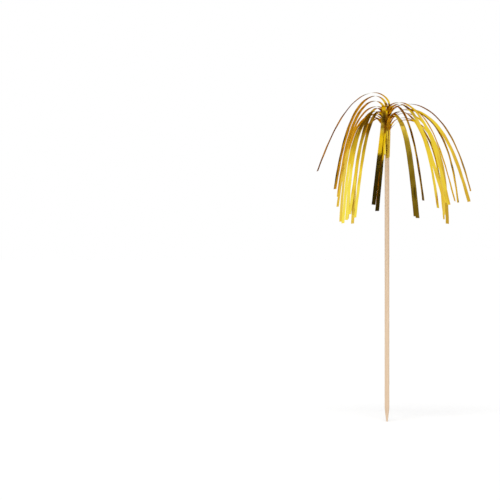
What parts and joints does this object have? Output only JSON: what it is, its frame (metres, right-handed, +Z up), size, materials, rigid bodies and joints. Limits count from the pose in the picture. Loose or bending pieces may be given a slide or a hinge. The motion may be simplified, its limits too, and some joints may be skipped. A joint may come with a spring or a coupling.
{
  "type": "firework cocktail pick",
  "caption": "Pointed wooden cocktail pick with slit gold foil film wound round its top, whose strands arch outwards and droop like a firework.",
  "frame": {"origin": "middle of the small flat at the end of the stick's point", "axes": "+Z up along the stick, from its point to the film; the pictured side faces -Y and its right side +X"},
  "size_m": [0.0983, 0.1059, 0.21],
  "materials": {
    "wood": "pale birch, sanded, uncoated, fine grain along the stick",
    "tape": "cream double-sided tape, matt",
    "gold_film": "metallised film, gold, mirror gloss with faint creases"
  },
  "bodies": {
    "root": {"stick": "wood", "adhesive_tape": "tape", "film_sleeve": "gold_film", "strand_01": "gold_film", "strand_02": "gold_film", "strand_03": "gold_film", "strand_04": "gold_film", "strand_05": "gold_film", "strand_06": "gold_film", "strand_07": "gold_film", "strand_08": "gold_film", "strand_09": "gold_film", "strand_10": "gold_film", "strand_11": "gold_film", "strand_12": "gold_film", "strand_13": "gold_film", "strand_14": "gold_film", "strand_15": "gold_film", "strand_16": "gold_film", "strand_17": "gold_film", "strand_18": "gold_film", "strand_19": "gold_film", "strand_20": "gold_film", "strand_21": "gold_film", "strand_22": "gold_film", "strand_23": "gold_film", "strand_24": "gold_film", "strand_25": "gold_film", "strand_26": "gold_film", "strand_27": "gold_film", "strand_28": "gold_film"}
  },
  "joints": []
}
